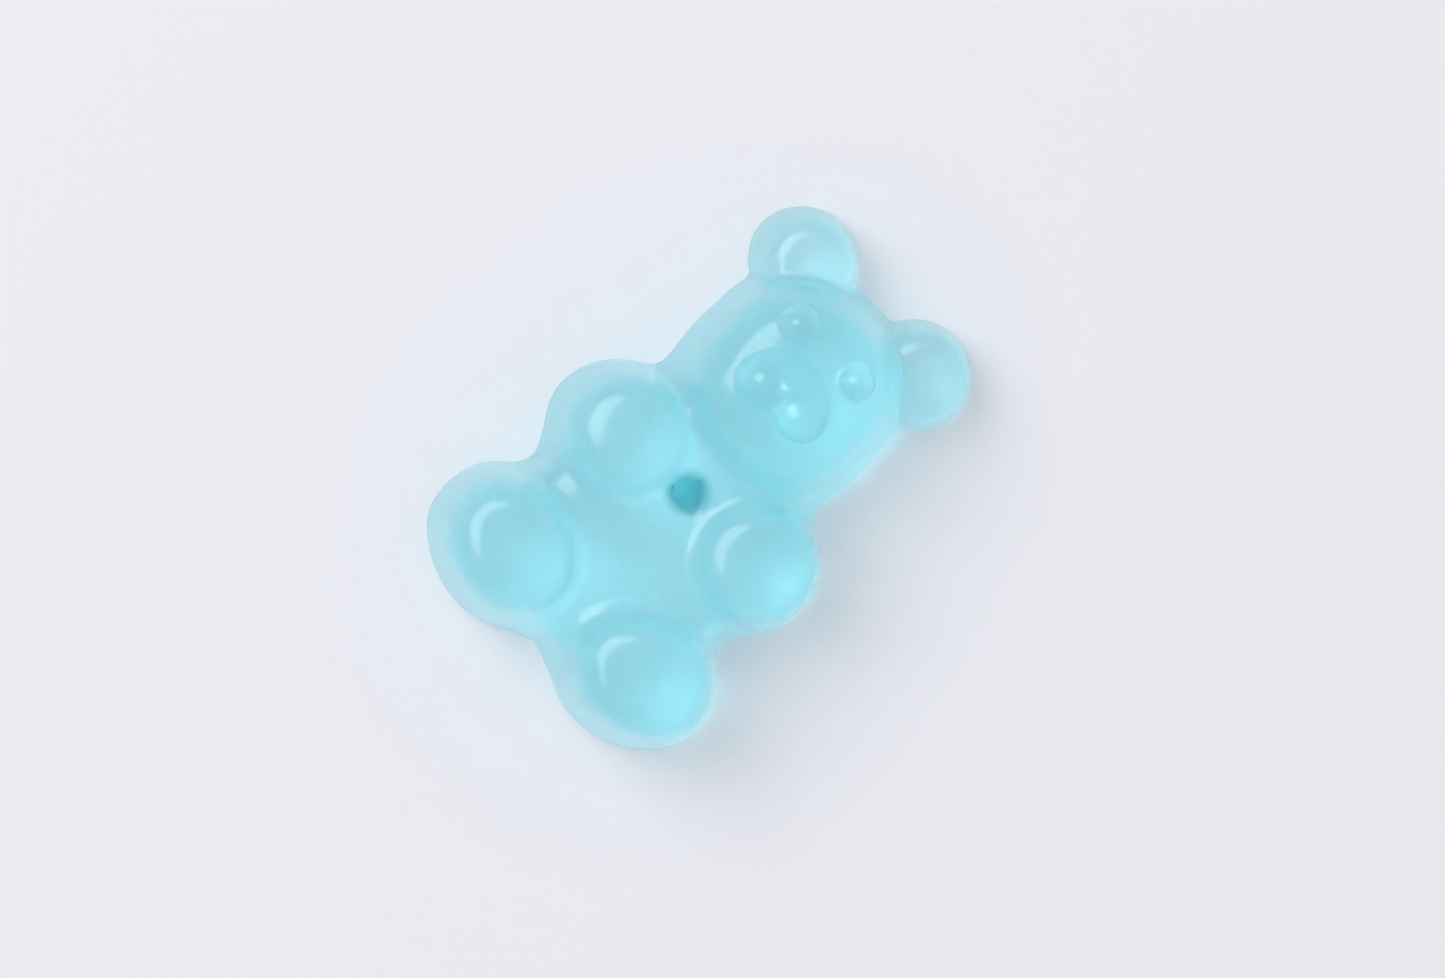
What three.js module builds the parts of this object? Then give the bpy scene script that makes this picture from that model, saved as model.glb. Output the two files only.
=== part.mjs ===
// A gummy bear: one piece of blue gelatine gum, poured into a mould and lying on its flat back.
// Millimetres. X runs across the bear, Y from its feet to its ears, and Z out of its back through its belly.
// The origin is on the flat back, in the middle of the bear's outline box.
//
// The bear is a handful of lobes that flow into each other. A lobe is an ellipse or a squarer round seen from
// above. Its walls lean in as they rise, so that the bear leaves its mould, and its top is a low dome.
// One function, gapToBear, says how far any point is from the blended surface. The skin starts as the upper
// half of a finely divided octahedron. Its corners are laid along spokes that run over the bear from its
// middle to its rim, then evened out on the surface. Edges that cut across a valley are turned to run along
// it, and the flat back closes the rim.
import * as THREE from "three";
import { mergeGeometries, mergeVertices } from "three/addons/utils/BufferGeometryUtils.js";

// ---- Driving dimensions ----

const LENGTH = 22.0; // soles to ear tips

// Lobes that stand on the back. x, y: centre of the lobe, with x the distance from the middle line.
// across, along: half sizes at the back. rise: height. plan: 2 is an ellipse, and more is squarer.
// turn: of the outline, in degrees, outer end towards the ears.
const HEAD = { x: 0, y: 4.8, across: 4.72, along: 4.95, rise: 7.5, plan: 2.4, turn: 0 };
const EAR = { x: 3.25, y: 8.77, across: 2.3, along: 2.26, rise: 3.3, plan: 2, turn: 0 };
const TORSO = { x: 0, y: -3.7, across: 5.45, along: 6.2, rise: 5.3, plan: 2, turn: 0 };
const NECK = { x: 0, y: 1.5, across: 4.05, along: 3, rise: 5, plan: 2, turn: 0 };
const ARM = { x: 3.8, y: -1.42, across: 3.04, along: 3.02, rise: 6.4, plan: 2, turn: 0 };
const LEG = { x: 3.7, y: -7.96, across: 3.6, along: 3.04, rise: 7, plan: 2.1, turn: 13 };

// How each lobe is finished. crown: 2 is a round shoulder, and more is tighter. dome: how much of its height
// the top loses from its middle to the shoulder. lean: of the walls, in degrees. outward, upward: how far the
// top stands from over the middle of its foot. lop: how far it stands further to the bear's left, both sides.
Object.assign(HEAD, { crown: 7, dome: 0.05, lean: 10, outward: 0, upward: 0, lop: 0 });
Object.assign(EAR, { crown: 8, dome: 0.015, lean: 11, outward: -0.05, upward: 0.2, lop: 0.3 });
Object.assign(TORSO, { crown: 8, dome: 0, lean: 9, outward: 0, upward: 0, lop: 0 });
Object.assign(NECK, { crown: 8, dome: 0, lean: 9, outward: 0, upward: 0, lop: 0 });
Object.assign(ARM, { crown: 7, dome: 0.03, lean: 6, outward: -0.2, upward: 0.3, lop: 0.45 });
Object.assign(LEG, { crown: 7, dome: 0.03, lean: 6.5, outward: -0.05, upward: 0.45, lop: 0.35 });

// Balls that swell out of the face. z: height of the centre. across, along, rise: half sizes.
const SNOUT = { x: 0, y: 4.72, z: 7, across: 1.95, along: 1.35, rise: 1.35 };
const CHEEK = { x: 0.98, y: 4.2, z: 7.1, across: 1.12, along: 1.08, rise: 1.35 };
const NOSE = { x: 0, y: 4.62, z: 8, across: 0.52, along: 0.42, rise: 0.5 };
const EYE = { x: 1.6, y: 6.75, z: 7, across: 0.78, along: 0.78, rise: 0.78 };

// The deep hollow under the chin, where head, arms and belly meet.
const HOLLOW = { x: 0, y: -1.25, z: 6.2, across: 0.85, along: 0.9, rise: 2.6 };

// How wide the valley is where neighbours meet: low down, and from VALLEY_TOP up.
const TRUNK_BLEND = 1.1;
const NECK_BLEND = { low: 1.2, high: 0.8 };
const ARM_BLEND = { low: 1.1, high: 0.7 };
const LEG_BLEND = { low: 1.1, high: 0.9 };
const EAR_BLEND = { low: 0.5, high: 0.3 };
const VALLEY_TOP = 5;
const FACE_BLEND = 0.3;
const HOLLOW_BLEND = 0.45;
const SIDE_FADE = 0.6; // from the bear's right half to its left

// ---- The skin's fineness ----

const RINGS = 48; // of corners, from the middle out to the rim
const SPOKES = 4 * RINGS; // the rim has a corner on each
const FINE_STEPS = 240; // for walking once along the half outline, or once along a spoke
const HALVINGS = 22; // of an interval that holds the surface
const OUTSIDE = 14; // a distance from the origin that is past the rim, and past the top
const EVENING_ROUNDS = 40; // of moving each corner towards the middle of its neighbours
const SETTLING_STEPS = 3; // of bringing a moved corner back onto the surface
const LOWEST = 0.12; // above the back, of every corner inside the rim
const TURNING_ROUNDS = 6; // of turning edges
const LEAST_GAIN = 0.004; // by which a turned edge has to come nearer to the surface
const SLIMMEST = 0.08; // height of a triangle
const FACING_AWAY = Math.PI / 3;
const LEAST_SLOPE = 0.1; // squared. gapToBear is flatter than this only in the deepest valleys
const LONGEST_STEP = 0.15; // of settling
const PROBE = 0.01; // step for slopes of gapToBear

const BLUE_GUM = new THREE.MeshStandardMaterial({
  name: "blue_gum",
  color: 0x93d6e8,
  roughness: 0.38,
  metalness: 0,
  transparent: true,
  opacity: 0.9,
});

// ---- How far a point is from each shape, in mm: negative inside, and exact only at the surface ----

// x is the distance from the middle line. side is 1 on the bear's left, and -1 on its right.
function gapToLobe(x, y, z, side, lobe) {
  const turn = THREE.MathUtils.degToRad(lobe.turn);
  const risen = z / lobe.rise;
  const dx = x - lobe.x - (lobe.outward + lobe.lop * side) * risen;
  const dy = y - lobe.y - lobe.upward * risen;
  const u = dx * Math.cos(turn) + dy * Math.sin(turn);
  const v = dy * Math.cos(turn) - dx * Math.sin(turn);
  const smallest = Math.min(lobe.across, lobe.along);
  const leanedIn = 1 - (z * Math.tan(THREE.MathUtils.degToRad(lobe.lean))) / smallest;
  const planPower = Math.abs(u / lobe.across) ** lobe.plan + Math.abs(v / lobe.along) ** lobe.plan;
  const reach = planPower ** (1 / lobe.plan) / Math.max(leanedIn, 0.2);
  const climb = Math.max(risen, 0) + lobe.dome * reach ** 2;
  return ((reach ** lobe.crown + climb ** lobe.crown) ** (1 / lobe.crown) - 1) * smallest;
}

function gapToBall(x, y, z, ball) {
  const reach = Math.hypot((x - ball.x) / ball.across, (y - ball.y) / ball.along, (z - ball.z) / ball.rise);
  return (reach - 1) * Math.min(ball.across, ball.along, ball.rise);
}

// The nearer of two gaps, with a rounded valley of about the given width where they meet.
function blend(a, b, width) {
  const near = Math.max(width - Math.abs(a - b), 0);
  return Math.min(a, b) - (near * near) / (4 * width);
}

function valleyAt(z, { low, high }) {
  return THREE.MathUtils.lerp(low, high, THREE.MathUtils.clamp(z / VALLEY_TOP, 0, 1));
}

// One half of the bear serves for both, because x enters as the distance from the middle line. Only the lop
// of the lobes tells the two sides apart.
function gapToBear(point) {
  const x = Math.abs(point.x);
  const { y, z } = point;
  const side = Math.tanh(point.x / SIDE_FADE);
  let trunk = blend(gapToLobe(x, y, z, side, TORSO), gapToLobe(x, y, z, side, NECK), TRUNK_BLEND);
  trunk = blend(trunk, gapToLobe(x, y, z, side, ARM), valleyAt(z, ARM_BLEND));
  trunk = blend(trunk, gapToLobe(x, y, z, side, LEG), valleyAt(z, LEG_BLEND));
  let head = gapToLobe(x, y, z, side, HEAD);
  head = blend(head, gapToLobe(x, y, z, side, EAR), valleyAt(z, EAR_BLEND));
  for (const feature of [SNOUT, CHEEK, NOSE, EYE]) {
    head = blend(head, gapToBall(x, y, z, feature), FACE_BLEND);
  }
  const whole = blend(trunk, head, valleyAt(z, NECK_BLEND));
  return -blend(-whole, gapToBall(x, y, z, HOLLOW), HOLLOW_BLEND);
}

// ---- Walking on the surface ----

// Where the surface lies between a point inside and a point outside.
function surfaceBetween(inside, outside) {
  const near = inside.clone();
  const far = outside.clone();
  const middle = new THREE.Vector3();
  for (let i = 0; i < HALVINGS; i++) {
    middle.lerpVectors(near, far, 0.5);
    (gapToBear(middle) < 0 ? near : far).copy(middle);
  }
  return middle;
}

function rimPoint(angle) {
  const outside = new THREE.Vector3(Math.cos(angle), Math.sin(angle), 0).multiplyScalar(OUTSIDE);
  return surfaceBetween(new THREE.Vector3(), outside);
}

function topPoint(x, y) {
  return surfaceBetween(new THREE.Vector3(x, y, 0), new THREE.Vector3(x, y, OUTSIDE));
}

// Places that cut a line into even parts, counted in steps of the line, given the length of each step.
function evenPlaces(stepLengths, parts) {
  const whole = stepLengths.reduce((sum, length) => sum + length, 0);
  const places = [];
  let step = 0;
  let travelled = 0;
  for (let part = 0; part < parts; part++) {
    const goal = (whole * part) / parts;
    while (travelled + stepLengths[step] < goal) travelled += stepLengths[step++];
    places.push(step + (goal - travelled) / stepLengths[step]);
  }
  return [...places, stepLengths.length];
}

function stepLengthsOf(line) {
  return line.slice(1).map((point, i) => point.distanceTo(line[i]));
}

function pointAt(line, place) {
  const step = Math.min(Math.floor(place), line.length - 2);
  return line[step].clone().lerp(line[step + 1], place - step);
}

// Even steps round the rim, up the right-hand side from crotch to crown and then down the left.
function rimPoints() {
  const halfRim = [];
  for (let step = 0; step <= FINE_STEPS; step++) {
    halfRim.push(rimPoint((step / FINE_STEPS - 0.5) * Math.PI));
  }
  const right = evenPlaces(stepLengthsOf(halfRim), SPOKES / 2).map((place) => pointAt(halfRim, place));
  const left = right.map((point) => new THREE.Vector3(-point.x, point.y, 0)).reverse();
  return [...right, ...left.slice(1)];
}

// One spoke: from the middle over the lobes and down the wall to the rim.
function spokeLine(rim) {
  const line = [];
  for (let step = 0; step < FINE_STEPS; step++) {
    const reach = step / FINE_STEPS;
    line.push(topPoint(rim.x * reach, rim.y * reach));
  }
  return [...line, rim];
}

// The points of each spoke that lie on the rings, which are evenly spaced over the average spoke.
function spokesWithRings(rim) {
  const lines = rim.map(spokeLine);
  const lengths = lines.map(stepLengthsOf);
  const summed = lengths[0].map((_, step) => lengths.reduce((sum, each) => sum + each[step], 0));
  const places = evenPlaces(summed, RINGS);
  return lines.map((line) => places.map((place) => pointAt(line, place)));
}

// ---- The skin ----

// The upper half of an octahedron, as flat faces cut into RINGS rows: corners and triangles.
function diamondDome() {
  const soup = new THREE.OctahedronGeometry(1, RINGS - 1);
  for (const name of ["normal", "uv"]) soup.deleteAttribute(name);
  const whole = mergeVertices(soup);
  const position = whole.attributes.position;
  const corners = [];
  for (let i = 0; i < position.count; i++) {
    const corner = new THREE.Vector3().fromBufferAttribute(position, i);
    corners.push(corner.divideScalar(Math.abs(corner.x) + Math.abs(corner.y) + Math.abs(corner.z)));
  }
  const triangles = [];
  for (let t = 0; t < whole.index.count; t += 3) {
    const triangle = [0, 1, 2].map((i) => whole.index.getX(t + i));
    const height = triangle.reduce((sum, corner) => sum + corners[corner].z, 0);
    if (height > 0) triangles.push(triangle);
  }
  return { corners, triangles };
}

// Where a corner of the dome goes: its bearing from the feet picks the spoke, and its ring the place on it.
function layOnSpokes(corner, spokes) {
  const outward = Math.abs(corner.x) + Math.abs(corner.y);
  const ring = Math.round(outward * RINGS);
  if (ring === 0) return spokes[0][0].clone();
  const northing = corner.y / outward;
  const turnShare = corner.x >= 0 ? (1 + northing) / 4 : (3 - northing) / 4;
  const spoke = Math.min(Math.floor(turnShare * SPOKES + 1e-6), SPOKES - 1);
  const share = turnShare * SPOKES - spoke;
  return spokes[spoke][ring].clone().lerp(spokes[spoke + 1][ring], share);
}

function slopeAt(point) {
  const slope = new THREE.Vector3();
  for (const axis of ["x", "y", "z"]) {
    const ahead = point.clone();
    const behind = point.clone();
    ahead[axis] += PROBE;
    behind[axis] -= PROBE;
    slope[axis] = (gapToBear(ahead) - gapToBear(behind)) / (2 * PROBE);
  }
  return slope;
}

function settle(point) {
  for (let step = 0; step < SETTLING_STEPS; step++) {
    const slope = slopeAt(point);
    slope.multiplyScalar(-gapToBear(point) / Math.max(slope.lengthSq(), LEAST_SLOPE));
    point.add(slope.clampLength(0, LONGEST_STEP));
  }
}

// Evens out the corners on the surface. Those on the rim stay where they are.
function evenOut(points, triangles, onRim) {
  const neighbours = points.map(() => new Set());
  for (const [a, b, c] of triangles) {
    neighbours[a].add(b).add(c);
    neighbours[b].add(c).add(a);
    neighbours[c].add(a).add(b);
  }
  for (let round = 0; round < EVENING_ROUNDS; round++) {
    const before = points.map((point) => point.clone());
    points.forEach((point, i) => {
      if (neighbours[i].size === 0 || onRim[i]) return;
      const middle = new THREE.Vector3();
      for (const neighbour of neighbours[i]) middle.add(before[neighbour]);
      point.lerp(middle.divideScalar(neighbours[i].size), 0.6);
      settle(point);
      point.z = Math.max(point.z, LOWEST);
    });
  }
}

// Square to a triangle and outwards, with twice its area as the length.
function facingOf(points, triangle) {
  const [a, b, c] = triangle.map((corner) => points[corner]);
  return b.clone().sub(a).cross(c.clone().sub(a));
}

// The least height of a triangle, or 0 where it faces away from the given direction.
function heightOf(points, triangle, direction) {
  const facing = facingOf(points, triangle);
  if (facing.angleTo(direction) > FACING_AWAY) return 0;
  const sides = triangle.map((corner, i) => points[corner].distanceTo(points[triangle[(i + 1) % 3]]));
  return facing.length() / Math.max(...sides);
}

// Turns the edge that two triangles share where joining their far corners follows the surface more nearly.
function turnEdges(points, triangles) {
  const missOf = (from, to) => Math.abs(gapToBear(points[from].clone().lerp(points[to], 0.5)));
  for (let round = 0; round < TURNING_ROUNDS; round++) {
    const owners = new Map();
    triangles.forEach((triangle, t) => {
      triangle.forEach((corner, i) => owners.set(`${corner} ${triangle[(i + 1) % 3]}`, t));
    });
    const turned = new Set();
    for (const [edge, t] of owners) {
      const [a, b] = edge.split(" ").map(Number);
      const other = owners.get(`${b} ${a}`);
      if (other === undefined || turned.has(t) || turned.has(other)) continue;
      const c = triangles[t].find((corner) => corner !== a && corner !== b);
      const d = triangles[other].find((corner) => corner !== a && corner !== b);
      if (owners.has(`${c} ${d}`) || owners.has(`${d} ${c}`)) continue;
      if (missOf(a, b) - missOf(c, d) < LEAST_GAIN) continue;
      const direction = facingOf(points, triangles[t]).add(facingOf(points, triangles[other]));
      const pair = [[c, a, d], [d, b, c]];
      if (Math.min(...pair.map((triangle) => heightOf(points, triangle, direction))) < SLIMMEST) continue;
      [triangles[t], triangles[other]] = pair;
      turned.add(t).add(other);
    }
  }
}

function skinGeometry(rim) {
  const spokes = spokesWithRings(rim);
  const { corners, triangles } = diamondDome();
  const points = corners.map((corner) => (corner.z < 0 ? new THREE.Vector3() : layOnSpokes(corner, spokes)));
  evenOut(points, triangles, corners.map((corner) => corner.z === 0));
  turnEdges(points, triangles);
  const geometry = new THREE.BufferGeometry().setFromPoints(points);
  return geometry.setIndex(triangles.flat());
}

// The flat back: a disc whose edge is the rim, taken clockwise so that it faces down.
function backGeometry(rim) {
  const disc = new THREE.CircleGeometry(1, SPOKES);
  for (const name of ["normal", "uv"]) disc.deleteAttribute(name);
  [...rim].reverse().forEach((point, i) => disc.attributes.position.setXYZ(i + 1, point.x, point.y, 0));
  return disc;
}

// ---- The bear ----

function makeBear() {
  const rim = rimPoints();
  const geometry = mergeVertices(mergeGeometries([skinGeometry(rim), backGeometry(rim)]));
  geometry.computeBoundingBox();
  const size = geometry.boundingBox.getSize(new THREE.Vector3());
  const middle = geometry.boundingBox.getCenter(new THREE.Vector3());
  geometry.translate(-middle.x, -middle.y, 0);
  const toLength = LENGTH / size.y;
  geometry.scale(toLength, toLength, toLength);
  geometry.computeVertexNormals();
  const bear = new THREE.Mesh(geometry, BLUE_GUM);
  bear.name = "gummy_bear";
  return bear;
}

const model = new THREE.Group();
model.add(makeBear());

export default model;
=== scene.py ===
"""A gummy bear of pale blue gelatine gum, lying on its flat back on a white sheet.

The bear is one piece. Its lobes are roughed out as balls and joined by a voxel remesh. Then every corner is
moved onto one blended surface, gap_to_bear, which also has the finer marks of the mould: eyes, snout, nose
and mouth. Lengths are in millimetres until the finished mesh is fitted to the frame, which is in metres.
"""
import math

import bmesh
import bpy
import numpy as np
from mathutils import Matrix, Vector


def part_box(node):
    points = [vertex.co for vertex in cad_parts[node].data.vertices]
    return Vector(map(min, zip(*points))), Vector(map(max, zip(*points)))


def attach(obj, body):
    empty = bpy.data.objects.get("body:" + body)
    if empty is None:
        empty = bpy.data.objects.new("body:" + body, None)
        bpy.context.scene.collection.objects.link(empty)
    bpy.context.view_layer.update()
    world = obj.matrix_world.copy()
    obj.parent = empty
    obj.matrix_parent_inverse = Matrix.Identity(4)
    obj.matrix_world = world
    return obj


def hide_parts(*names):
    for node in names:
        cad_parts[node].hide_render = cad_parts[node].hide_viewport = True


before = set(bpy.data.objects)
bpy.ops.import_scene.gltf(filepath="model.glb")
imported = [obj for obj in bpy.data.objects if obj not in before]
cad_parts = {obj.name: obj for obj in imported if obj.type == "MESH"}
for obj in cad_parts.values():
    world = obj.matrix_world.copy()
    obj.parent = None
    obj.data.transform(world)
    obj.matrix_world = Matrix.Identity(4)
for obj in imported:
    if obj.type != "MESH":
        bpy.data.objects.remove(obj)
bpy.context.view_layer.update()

MM = 0.001  # metres

# ---- The bear's sizes. X to its left, Y from the feet to the ears, Z out of the back through the belly ----

# Lobes that stand on the back:
# centre: x and y, with x the distance from the middle line. across, along: half sizes at the back.
# rise: the height. plan: 2 is an ellipse, and more is squarer.
# crown: 2 is a round shoulder, and more is tighter. lean: of the walls, in degrees.
# dome: how much of its height the top loses from its middle to the shoulder.
# shift: how far the top stands outwards and up from over the centre.
# lop: how far it stands further to the bear's left, on both sides.
# turn: of the outline, in degrees, outer end up.
HEAD = dict(centre=(0, 4.8), across=4.72, along=4.95, rise=7.5, plan=2.4)
HEAD.update(crown=7, dome=0.05, lean=10, shift=(0, 0), lop=0, turn=0)
EAR = dict(centre=(3.25, 8.77), across=2.4, along=2.34, rise=3.3, plan=2)
EAR.update(crown=8, dome=0.015, lean=11, shift=(-0.05, 0.2), lop=0.3, turn=0)
TORSO = dict(centre=(0, -3.7), across=5.45, along=6.2, rise=5.3, plan=2)
TORSO.update(crown=8, dome=0, lean=9, shift=(0, 0), lop=0, turn=0)
NECK = dict(centre=(0, 1.5), across=4.05, along=3, rise=5, plan=2)
NECK.update(crown=8, dome=0, lean=9, shift=(0, 0), lop=0, turn=0)
ARM = dict(centre=(3.8, -1.42), across=3.04, along=3.02, rise=6.4, plan=2)
ARM.update(crown=8, dome=0.03, lean=6, shift=(-0.2, 0.3), lop=0.45, turn=0)
LEG = dict(centre=(3.7, -7.96), across=3.6, along=3.04, rise=7, plan=2.1)
LEG.update(crown=8, dome=0.03, lean=6.5, shift=(-0.05, 0.45), lop=0.35, turn=13)
LOBES = (HEAD, EAR, TORSO, NECK, ARM, LEG)
LEAST_OUTLINE = 0.2  # walls lean in no further than to this share of the outline

# Balls that swell out of the face: centre and half sizes.
SNOUT = dict(centre=(0, 4.72, 7.0), half=(1.95, 1.35, 1.35))
CHEEK = dict(centre=(0.98, 4.2, 7.1), half=(1.12, 1.08, 1.35))
NOSE = dict(centre=(0, 4.62, 8.0), half=(0.52, 0.42, 0.5))
EYE = dict(centre=(1.6, 6.75, 6.95), half=(0.76, 0.76, 0.95))
FACE = ((SNOUT, 0.18), (CHEEK, 0.15), (NOSE, 0.12), (EYE, 0.18))  # each with the width of its blend

# The deep hollow under the chin, where head, arms and belly meet. It has three corners, one towards the chin.
# across: from its middle to a side. sides: which way they face, in degrees. corner: more is sharper.
HOLLOW = dict(centre=(0.06, -1.15, 6.0), across=0.48, depth=3.4, sides=(-90, 30, 150), corner=3.5)

# The cleft below the nose.
CLEFT = dict(centre=(0, 3.85, 8.5), half=(0.12, 0.5, 0.45))

# How wide the valleys are where lobes meet: at the back, and from VALLEY_TOP up, where they are tighter.
NECK_BLEND = (1.2, 0.8)
ARM_BLEND = (1.1, 0.7)
LEG_BLEND = (1.1, 0.9)
EAR_BLEND = (0.4, 0.15)
VALLEY_TOP = 5.0
TRUNK_BLEND = 1.1  # between torso and neck, at any height
SIDE_FADE = 0.6  # over about this far, the right half's lobes pass smoothly into the left half's

# How wide the rounded edges are: of the hollow, of the cleft, and between the walls and the back.
HOLLOW_BLEND = 0.25
CLEFT_BLEND = 0.15
RIM_BLEND = (1.0, 0.5)  # of the body, and of the ears
EARS_FROM = (7.0, 8.5)  # along Y, where the rim changes from the body's to the ears'

# A cast sweet isn't perfectly even: long shallow waves run over its skin.
# Each has a height, a length, a heading and a start.
WAVES = (
    (0.018, 5.3, (0.8, 0.5, 0.3), 0.7),
    (0.014, 3.4, (-0.4, 0.9, 0.2), 2.1),
    (0.01, 2.3, (0.6, -0.7, 0.5), 4.0),
)

# ---- How finely it is made ----

VOXEL = 0.11
ROUGH_OUT_CUTS = 5  # of the ball that each lobe starts from
FAR = 14.0  # from a lobe's middle to a point that is outside it
HALVINGS = 20  # of the stretch in which a ray leaves its lobe
EVENING_ROUNDS = 8
EVENING = 0.5  # how far each round takes a corner towards the middle of its neighbours
SETTLING_STEPS = 3
LEAST_SLOPE = 0.1  # squared
LONGEST_STEP = 0.12
NO_STEP = 1e-9  # a length that stands for none, so that nothing is divided by zero
PROBE = 0.01


# ---- How far points are from each shape: negative inside, and exact only at the surface ----


def gap_to_lobe(points, lobe, side):
    """The gap of points on the bear's left half. side is 1, or -1 where they are mirrored over to it."""
    turn = math.radians(lobe["turn"])
    z = np.abs(points[:, 2])
    dx = points[:, 0] - lobe["centre"][0] - (lobe["shift"][0] + lobe["lop"] * side) * z / lobe["rise"]
    dy = points[:, 1] - lobe["centre"][1] - lobe["shift"][1] * z / lobe["rise"]
    u = dx * math.cos(turn) + dy * math.sin(turn)
    v = dy * math.cos(turn) - dx * math.sin(turn)
    smallest = min(lobe["across"], lobe["along"])
    leaned_in = np.maximum(1 - z * math.tan(math.radians(lobe["lean"])) / smallest, LEAST_OUTLINE)
    plan_power = np.abs(u / lobe["across"]) ** lobe["plan"] + np.abs(v / lobe["along"]) ** lobe["plan"]
    outward = plan_power ** (1 / lobe["plan"]) / leaned_in
    upward = z / lobe["rise"] + lobe["dome"] * outward**2
    return ((outward ** lobe["crown"] + upward ** lobe["crown"]) ** (1 / lobe["crown"]) - 1) * smallest


def gap_to_ball(points, ball):
    reach = np.linalg.norm((points - ball["centre"]) / ball["half"], axis=1)
    return (reach - 1) * min(ball["half"])


def valley(points, widths):
    at_back, at_top = widths
    return at_back + (at_top - at_back) * np.clip(points[:, 2] / VALLEY_TOP, 0, 1)


def gap_to_hollow(points):
    offset = points - HOLLOW["centre"]
    outward = np.zeros(len(points))
    for side in HOLLOW["sides"]:
        towards = offset[:, 0] * math.cos(math.radians(side)) + offset[:, 1] * math.sin(math.radians(side))
        outward += np.maximum(towards, 0) ** HOLLOW["corner"]
    outward = outward ** (1 / HOLLOW["corner"]) / HOLLOW["across"]
    return (np.hypot(outward, offset[:, 2] / HOLLOW["depth"]) - 1) * HOLLOW["across"]


def blend(a, b, width):
    """The nearer of two gaps, with a rounded valley of about the given width where they meet."""
    near = np.maximum(width - np.abs(a - b), 0)
    return np.minimum(a, b) - near * near / (4 * width)


def cut(a, b, width):
    """What is in a and not in b, with a rounded edge."""
    return -blend(-a, b, width)


def waviness(points):
    total = np.zeros(len(points))
    for height, length, heading, start in WAVES:
        along = points @ (np.array(heading) / np.linalg.norm(heading))
        total += height * np.sin(2 * math.pi * along / length + start)
    return total


def gap_to_bear(points):
    half = points.copy()
    half[:, 0] = np.abs(half[:, 0])
    side = np.tanh(points[:, 0] / SIDE_FADE)
    trunk = blend(gap_to_lobe(half, TORSO, side), gap_to_lobe(half, NECK, side), TRUNK_BLEND)
    trunk = blend(trunk, gap_to_lobe(half, ARM, side), valley(half, ARM_BLEND))
    trunk = blend(trunk, gap_to_lobe(half, LEG, side), valley(half, LEG_BLEND))
    head = blend(gap_to_lobe(half, HEAD, side), gap_to_lobe(half, EAR, side), valley(half, EAR_BLEND))
    for ball, width in FACE:
        head = blend(head, gap_to_ball(half, ball), width)
    whole = blend(trunk, head, valley(half, NECK_BLEND))
    whole = cut(whole, gap_to_hollow(points), HOLLOW_BLEND)
    whole = cut(whole, gap_to_ball(half, CLEFT), CLEFT_BLEND)
    whole += waviness(points)
    return cut(whole, points[:, 2], np.interp(points[:, 1], EARS_FROM, RIM_BLEND))


def slopes_at(points):
    slopes = np.empty_like(points)
    for axis in range(3):
        step = np.zeros(3)
        step[axis] = PROBE
        slopes[:, axis] = (gap_to_bear(points + step) - gap_to_bear(points - step)) / (2 * PROBE)
    return slopes


def settle(points):
    """Brings points that are near the surface onto it."""
    for _ in range(SETTLING_STEPS):
        slopes = slopes_at(points)
        size = np.maximum((slopes**2).sum(axis=1), LEAST_SLOPE)
        moves = -slopes * (gap_to_bear(points) / size)[:, None]
        lengths = np.maximum(np.linalg.norm(moves, axis=1), NO_STEP)
        points = points + moves * np.minimum(1, LONGEST_STEP / lengths)[:, None]
    return points


# ---- The mesh ----


def places(bm):
    return np.array([vert.co for vert in bm.verts])


def set_places(verts, points):
    for vert, point in zip(verts, points):
        vert.co = point


def add_lobe(bm, lobe, side):
    """A ball whose corners are moved along their own rays until they lie on the lobe."""
    ball = bmesh.ops.create_icosphere(bm, subdivisions=ROUGH_OUT_CUTS, radius=1)["verts"]
    rays = np.array([vert.co for vert in ball])
    middle = np.array([*lobe["centre"], 0])
    near = np.zeros(len(rays))
    far = np.full(len(rays), FAR)
    for _ in range(HALVINGS):
        half = (near + far) / 2
        inside = gap_to_lobe(middle + rays * half[:, None], lobe, side) < 0
        near = np.where(inside, half, near)
        far = np.where(inside, far, half)
    set_places(ball, middle + rays * near[:, None])
    if side < 0:
        bmesh.ops.scale(bm, vec=(-1, 1, 1), verts=ball)


def add_ball(bm, ball, side):
    made = bmesh.ops.create_icosphere(bm, subdivisions=ROUGH_OUT_CUTS, radius=1)["verts"]
    bmesh.ops.scale(bm, vec=ball["half"], verts=made)
    bmesh.ops.translate(bm, vec=ball["centre"], verts=made)
    if side < 0:
        bmesh.ops.scale(bm, vec=(-1, 1, 1), verts=made)


def roughed_out():
    """All lobes and face balls, cut off at the back and closed there."""
    bm = bmesh.new()
    for side in (-1, 1):
        for lobe in LOBES:
            if side > 0 or lobe["centre"][0] > 0:
                add_lobe(bm, lobe, side)
        for ball, _ in FACE:
            if side > 0 or ball["centre"][0] > 0:
                add_ball(bm, ball, side)
    everything = bm.verts[:] + bm.edges[:] + bm.faces[:]
    bmesh.ops.bisect_plane(bm, geom=everything, plane_co=(0, 0, 0), plane_no=(0, 0, -1), clear_outer=True)
    bmesh.ops.holes_fill(bm, edges=[edge for edge in bm.edges if edge.is_boundary])
    bmesh.ops.recalc_face_normals(bm, faces=bm.faces)
    return bm


def remeshed(bm):
    """The skin round everything in bm, as even quads."""
    rough = bpy.data.meshes.new("rough_gum")
    bm.to_mesh(rough)
    bm.free()
    holder = bpy.data.objects.new("rough_gum", rough)
    bpy.context.scene.collection.objects.link(holder)
    remesh = holder.modifiers.new("voxels", "REMESH")
    remesh.mode = "VOXEL"
    remesh.voxel_size = VOXEL
    skin = bmesh.new()
    skin.from_object(holder, bpy.context.evaluated_depsgraph_get())
    bpy.data.objects.remove(holder)
    bpy.data.meshes.remove(rough)
    return skin


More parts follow.
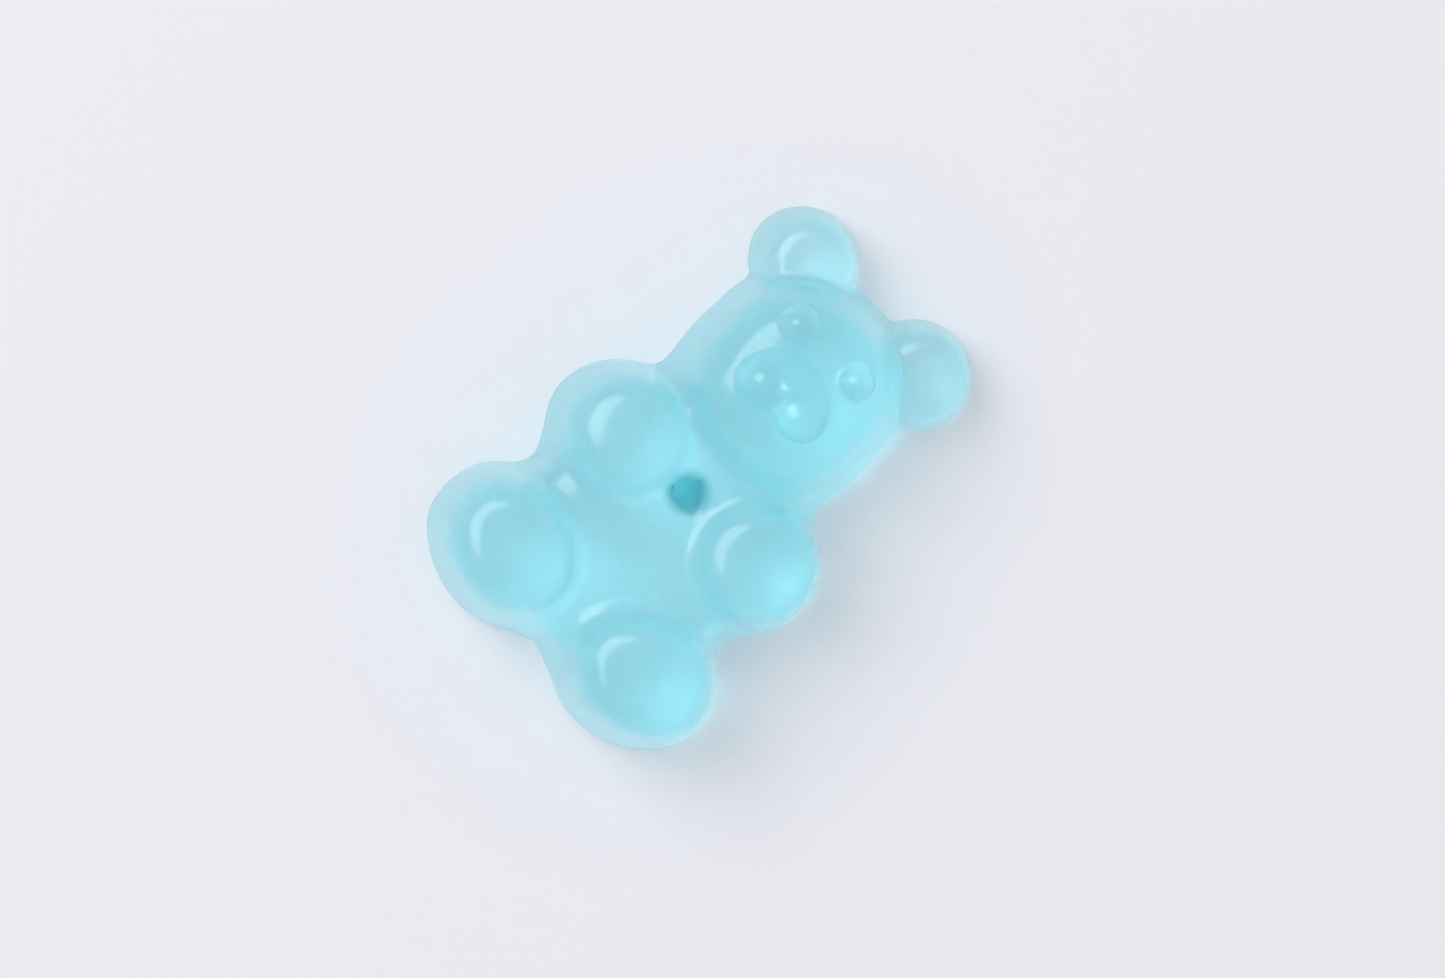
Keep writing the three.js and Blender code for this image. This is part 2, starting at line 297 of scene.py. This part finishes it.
def fit_to_node(bm, node):
    """Makes the bear as long as its CAD node, in metres, and lays it where that lies."""
    low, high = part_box(node)
    points = places(bm)
    own_low, own_high = Vector(points.min(axis=0)), Vector(points.max(axis=0))
    scale = (high.y - low.y) / (own_high.y - own_low.y)
    middle = (own_low + own_high) / 2
    goal = (low + high) / 2
    bmesh.ops.translate(bm, vec=(-middle.x, -middle.y, -own_low.z), verts=bm.verts)
    bmesh.ops.scale(bm, vec=(scale, scale, scale), verts=bm.verts)
    bmesh.ops.translate(bm, vec=(goal.x, goal.y, low.z), verts=bm.verts)


def make_bear():
    bm = remeshed(roughed_out())
    for _ in range(EVENING_ROUNDS):
        bmesh.ops.smooth_vert(
            bm, verts=bm.verts, factor=EVENING, use_axis_x=True, use_axis_y=True, use_axis_z=True
        )
        set_places(bm.verts, settle(places(bm)))
    bmesh.ops.recalc_face_normals(bm, faces=bm.faces)
    fit_to_node(bm, "gummy_bear")
    mesh = bpy.data.meshes.new("gum")
    bm.to_mesh(mesh)
    bm.free()
    mesh.shade_smooth()
    bear = bpy.data.objects.new("gum", mesh)
    bpy.context.scene.collection.objects.link(bear)
    bear.data.materials.append(gelatine_gum())
    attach(bear, "root")
    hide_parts("gummy_bear")


# ---- Materials ----

# Starch grains are about 0.015 mm, too fine to show. So their grain is drawn as coarse as it needs to show.
GRAIN = 0.22 * MM
GRAIN_DEPTH = 0.01 * MM
GRAIN_STRENGTH = 0.1

# The gum sets with shallow ripples.
RIPPLE = 1.3 * MM
RIPPLE_DEPTH = 0.03 * MM
RIPPLE_STRENGTH = 0.15

GEL_COLOUR = "6ff7fe"  # the gel takes the red out of light, and more of it where the bear is thicker
GEL_DENSITY = 73.0
TOP_TINT = "f5fdfe"

# The starch leaves the upright walls duller. Their deeper colour is painted shade: the walls are tinted
# darker and bluer, in place of the colour that light takes on where it crosses the gel.
WALL_PAINTED_SHADE = "ddf9fd"
WALL_GLOW = "f1fcfd"  # what passes through the dull part of the skin
WALL_MATTNESS = 0.22  # the dull part's share
WALL_BEGINS = 0.9  # how far up the skin's normal points where a wall begins, and next, where it is full
WALL_IS_FULL = 0.35

# Clear gum alone stays bright in the hollow, so the skin there carries painted shade, a dark tint, and has no
# gloss. Both are full out to the first of the two shares below, as a share of the half sizes, and end at the
# second.
HOLLOW_PAINTED_SHADE = dict(centre=(-0.05, -1.15, 3.8), half=(1.4, 1.4, 3.0), tint="4aa4ae")
PAINTED_SHADE_IS_FULL = 0.6
PAINTED_SHADE_ENDS = 1.0

# A Mix node's sockets for colours. They share their names with others, so they go by their numbers.
MIX_SHARE = 0
MIX_FIRST = 6
MIX_SECOND = 7
MIX_RESULT = 2


def linear(hex_colour):
    """An sRGB colour such as "93d6e8" as Blender's linear red, green, blue and alpha."""
    shares = [int(hex_colour[i : i + 2], 16) / 255 for i in (0, 2, 4)]
    return (*[s / 12.92 if s <= 0.04045 else ((s + 0.055) / 1.055) ** 2.4 for s in shares], 1)


def add_node(tree, kind, settings=None, links=None):
    """A node with its settings, by the name of a socket or property, and its links, by the name of a socket.

    A socket that shares its name with another goes by its number.
    """
    node = tree.nodes.new(kind)
    for name, value in (settings or {}).items():
        if isinstance(name, int) or name in node.inputs:
            node.inputs[name].default_value = value
        else:
            setattr(node, name, value)
    for name, source in (links or {}).items():
        tree.links.new(source, node.inputs[name])
    return node


def new_material(name):
    material = bpy.data.materials.new(name)
    material.use_nodes = True
    material.node_tree.nodes.clear()
    return material, material.node_tree


def grain_and_ripples(tree, place):
    """The normal of the skin."""
    grain = add_node(tree, "ShaderNodeTexNoise", {"Scale": 1 / GRAIN, "Detail": 2.0}, {"Vector": place})
    ripple = add_node(tree, "ShaderNodeTexNoise", {"Scale": 1 / RIPPLE, "Detail": 1.0}, {"Vector": place})
    grained = add_node(
        tree,
        "ShaderNodeBump",
        {"Strength": GRAIN_STRENGTH, "Distance": GRAIN_DEPTH},
        {"Height": grain.outputs["Fac"]},
    )
    rippled = add_node(
        tree,
        "ShaderNodeBump",
        {"Strength": RIPPLE_STRENGTH, "Distance": RIPPLE_DEPTH},
        {"Height": ripple.outputs["Fac"], "Normal": grained.outputs["Normal"]},
    )
    return rippled.outputs["Normal"]


def reach_from_hollow_shade(tree, place):
    """How far a point is from the middle of the painted shade in the hollow, with 1 at its half sizes."""
    centre, half = HOLLOW_PAINTED_SHADE["centre"], HOLLOW_PAINTED_SHADE["half"]
    from_middle = add_node(
        tree,
        "ShaderNodeMapping",
        {"Location": [-c / h for c, h in zip(centre, half)], "Scale": [1 / (h * MM) for h in half]},
        {"Vector": place},
    )
    reach = add_node(
        tree, "ShaderNodeVectorMath", {"operation": "LENGTH"}, {"Vector": from_middle.outputs["Vector"]}
    )
    return reach.outputs["Value"]


def share_of_wall(tree, normal):
    """0 on the tops of the lobes, and 1 on their walls."""
    facing = add_node(tree, "ShaderNodeSeparateXYZ", links={"Vector": normal})
    on_wall = add_node(
        tree,
        "ShaderNodeMapRange",
        {"interpolation_type": "SMOOTHSTEP", "From Min": WALL_BEGINS, "From Max": WALL_IS_FULL},
        {"Value": facing.outputs["Z"]},
    )
    return on_wall.outputs["Result"]


def gelatine_gum():
    """Gelatine gum cast in starch: a clear gel with a matt skin, so it glows and nothing in it is sharp.

    Gum's IOR is about 1.5, and less keeps the lobes evenly pale and brightest away from the lamp. The film of
    oil and wax on it has about 1.45, and more gives the tops of the lobes their highlights.
    """
    material, tree = new_material("starch_moulded_gelatine_gum")
    coordinates = add_node(tree, "ShaderNodeTexCoord")
    skin = grain_and_ripples(tree, coordinates.outputs["Object"])
    reach = reach_from_hollow_shade(tree, coordinates.outputs["Object"])
    on_wall = share_of_wall(tree, coordinates.outputs["Normal"])
    # painted shade in the hollow under the chin, and the gloss fading out there
    in_painted_shade = add_node(
        tree,
        "ShaderNodeMapRange",
        {"interpolation_type": "SMOOTHSTEP", "From Min": PAINTED_SHADE_ENDS, "From Max": PAINTED_SHADE_IS_FULL},
        {"Value": reach},
    )
    shine = add_node(
        tree,
        "ShaderNodeMapRange",
        {"interpolation_type": "SMOOTHSTEP", "From Min": PAINTED_SHADE_IS_FULL, "From Max": PAINTED_SHADE_ENDS},
        {"Value": reach},
    )
    # the walls' deeper colour mixed in here is painted shade
    skin_tint_and_wall_shade = add_node(
        tree,
        "ShaderNodeMix",
        {"data_type": "RGBA", MIX_FIRST: linear(TOP_TINT), MIX_SECOND: linear(WALL_PAINTED_SHADE)},
        {MIX_SHARE: on_wall},
    )
    # the hollow's painted shade is mixed into the skin's tint
    shade = add_node(
        tree,
        "ShaderNodeMix",
        {"data_type": "RGBA", MIX_SECOND: linear(HOLLOW_PAINTED_SHADE["tint"])},
        {MIX_SHARE: in_painted_shade.outputs["Result"], MIX_FIRST: skin_tint_and_wall_shade.outputs[MIX_RESULT]},
    )
    gum = add_node(
        tree,
        "ShaderNodeBsdfPrincipled",
        {
            "Roughness": 0.4,
            "IOR": 1.31,
            "Transmission Weight": 0.94,
            "Subsurface Weight": 1.0,  # of what isn't transmitted: a faint haze
            "Subsurface Radius": (1.0, 1.6, 1.8),
            "Subsurface Scale": 2.0 * MM,
            "Coat Roughness": 0.17,
            "Coat IOR": 1.58,
        },
        {"Base Color": shade.outputs[MIX_RESULT], "Coat Weight": shine.outputs["Result"], "Normal": skin},
    )
    dull_skin = add_node(tree, "ShaderNodeBsdfTranslucent", {"Color": linear(WALL_GLOW)}, {"Normal": skin})
    dullness = add_node(tree, "ShaderNodeMath", {"operation": "MULTIPLY", 1: WALL_MATTNESS}, {0: on_wall})
    surface = add_node(
        tree,
        "ShaderNodeMixShader",
        links={"Fac": dullness.outputs["Value"], 1: gum.outputs["BSDF"], 2: dull_skin.outputs["BSDF"]},
    )
    gel = add_node(tree, "ShaderNodeVolumeAbsorption", {"Color": linear(GEL_COLOUR), "Density": GEL_DENSITY})
    add_node(
        tree,
        "ShaderNodeOutputMaterial",
        links={"Surface": surface.outputs["Shader"], "Volume": gel.outputs["Volume"]},
    )
    return material


def white_card():
    """Uncoated white card: even, matt and slightly cool, so the bear's shadow and glow show clearly on it."""
    material, tree = new_material("white_card")
    card = add_node(tree, "ShaderNodeBsdfPrincipled", {"Base Color": linear("efeef2"), "Roughness": 0.9})
    add_node(tree, "ShaderNodeOutputMaterial", links={"Surface": card.outputs["BSDF"]})
    return material


# ---- Floor, light and camera ----

FLOOR_GAP = 0.02 * MM  # keeps the back and the sheet apart
FLOOR_RADIUS = 1.5  # metres
FLOOR_CORNERS = 96

LIGHT_BOUNCES = 32
ROOM_COLOUR = "f8f6fa"
ROOM_STRENGTH = 0.72

VIEW_DISTANCE = 300 * MM
VIEW_TILT = 1.6  # degrees that the camera stands over towards the bear's right hand
VIEW_TURN = 45.0  # degrees that the bear's head leans to the right in the picture
VIEW_AIM = Vector((0.981, -0.104, 0)) * MM
FRAME_WIDTH_PX = 1445
MM_PER_PX = 22.0 / 539  # the bear's length, and the pixels that it covers
SENSOR_WIDTH = 36.0  # in millimetres, as Blender takes the lens too
NEAREST_SEEN = 10 * MM
FARTHEST_SEEN = 5.0  # metres


def make_floor():
    bm = bmesh.new()
    bmesh.ops.create_circle(bm, cap_ends=True, segments=FLOOR_CORNERS, radius=FLOOR_RADIUS)
    bmesh.ops.translate(bm, vec=(0, 0, -FLOOR_GAP), verts=bm.verts)
    mesh = bpy.data.meshes.new("floor")
    bm.to_mesh(mesh)
    bm.free()
    floor = bpy.data.objects.new("floor", mesh)
    floor.data.materials.append(white_card())
    bpy.context.scene.collection.objects.link(floor)


def make_softbox(name, bearing, elevation, distance, width, height, power, colour):
    """A lamp that faces the bear. bearing 0 is from its feet, and 90 from its left side."""
    data = bpy.data.lights.new(name, "AREA")
    data.shape = "RECTANGLE"
    data.size = width
    data.size_y = height
    data.energy = power
    data.color = linear(colour)[:3]
    lamp = bpy.data.objects.new(name, data)
    a, e = math.radians(bearing), math.radians(elevation)
    away = Vector((math.sin(a) * math.cos(e), -math.cos(a) * math.cos(e), math.sin(e)))
    lamp.location = away * distance
    lamp.rotation_euler = away.to_track_quat("Z", "Y").to_euler()
    bpy.context.scene.collection.objects.link(lamp)


def keep_light_in_gel(cycles):
    """Much of the glow has crossed the gel several times, so such light isn't cut off, dimmed or blurred."""
    cycles.max_bounces = LIGHT_BOUNCES
    cycles.transmission_bounces = LIGHT_BOUNCES
    cycles.glossy_bounces = LIGHT_BOUNCES
    cycles.diffuse_bounces = LIGHT_BOUNCES
    cycles.sample_clamp_indirect = 0
    cycles.blur_glossy = 0


def make_light():
    make_softbox(
        "key", bearing=-82, elevation=55, distance=0.6, width=0.45, height=0.45, power=1.5, colour="ffffff"
    )
    world = bpy.data.worlds.new("room")
    world.use_nodes = True
    background = world.node_tree.nodes["Background"]
    background.inputs["Color"].default_value = linear(ROOM_COLOUR)
    background.inputs["Strength"].default_value = ROOM_STRENGTH
    bpy.context.scene.world = world
    bpy.context.scene.view_settings.view_transform = "Standard"
    keep_light_in_gel(bpy.context.scene.cycles)


def make_camera():
    data = bpy.data.cameras.new("camera")
    data.sensor_width = SENSOR_WIDTH
    data.lens = SENSOR_WIDTH * VIEW_DISTANCE / (FRAME_WIDTH_PX * MM_PER_PX * MM)
    data.clip_start = NEAREST_SEEN
    data.clip_end = FARTHEST_SEEN
    camera = bpy.data.objects.new("camera", data)
    tilt, turn = math.radians(VIEW_TILT), math.radians(VIEW_TURN)
    away = Vector((-math.sin(tilt), 0, math.cos(tilt)))
    right = Vector((math.cos(turn), math.sin(turn), 0))
    right = (right - away * right.dot(away)).normalized()
    up = away.cross(right)
    facing = Matrix((right, up, away)).transposed().to_4x4()
    camera.matrix_world = Matrix.Translation(VIEW_AIM + away * VIEW_DISTANCE) @ facing
    bpy.context.scene.collection.objects.link(camera)
    bpy.context.scene.camera = camera


make_bear()
make_floor()
make_light()
make_camera()
